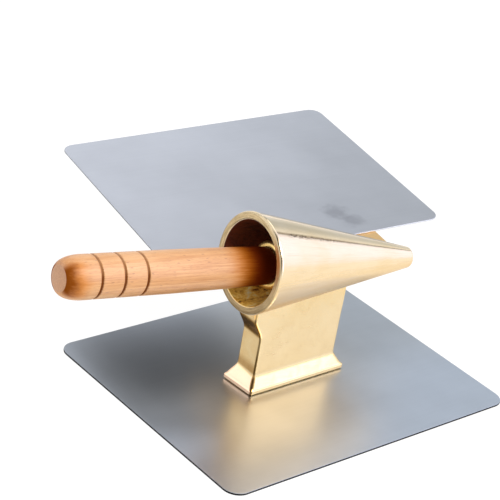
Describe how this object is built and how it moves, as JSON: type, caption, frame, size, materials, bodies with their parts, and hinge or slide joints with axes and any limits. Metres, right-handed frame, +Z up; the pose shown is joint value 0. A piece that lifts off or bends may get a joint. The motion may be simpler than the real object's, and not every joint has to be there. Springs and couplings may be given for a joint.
{
  "type": "waffle cone maker",
  "caption": "Hand tool that rolls a hot flat wafer into a cone: hollow brass cone on a pedestal and base plate, tilted feed plate, and a loose tapered roller with a wooden handle.",
  "frame": {"origin": "middle of the underside of the base plate", "axes": "+Z up; +X from the handle side towards the tip of the cone, along the long edge of the base plate; +Y towards the feed plate"},
  "size_m": [0.2993, 0.2652, 0.1052],
  "materials": {
    "steel_sheet": "satin",
    "brass_cast": "cast, ground and polished outside, as cast inside",
    "brass_turned": "turned",
    "steel_fastener": "zinc plated",
    "beech": "turned and oiled, grooves burnt dark"
  },
  "bodies": {
    "stand": {"base_plate": "steel_sheet", "pedestal": "brass_cast", "base_screws": "steel_fastener", "cone_mould": "brass_cast", "feed_plate": "steel_sheet", "plate_studs": "steel_fastener", "plate_washers": "steel_fastener", "plate_nuts": "steel_fastener"},
    "ring": {"shoulder_ring": "brass_turned"},
    "roller": {"roller_cone": "brass_turned", "pivot_pin": "steel_fastener", "handle_rod": "steel_fastener", "handle": "beech"}
  },
  "joints": [
    {"name": "roller_draw_out", "type": "slide", "parent": "stand", "child": "ring", "axis": [-0.9895, 0.0842, 0.1173], "range_m": [0, 0.13]},
    {"name": "roller_spin", "type": "hinge", "parent": "ring", "child": "roller", "pos_m": [0.06026, -0.004, 0.06428], "axis": [-0.9895, 0.0842, 0.1173], "continuous": true}
  ]
}
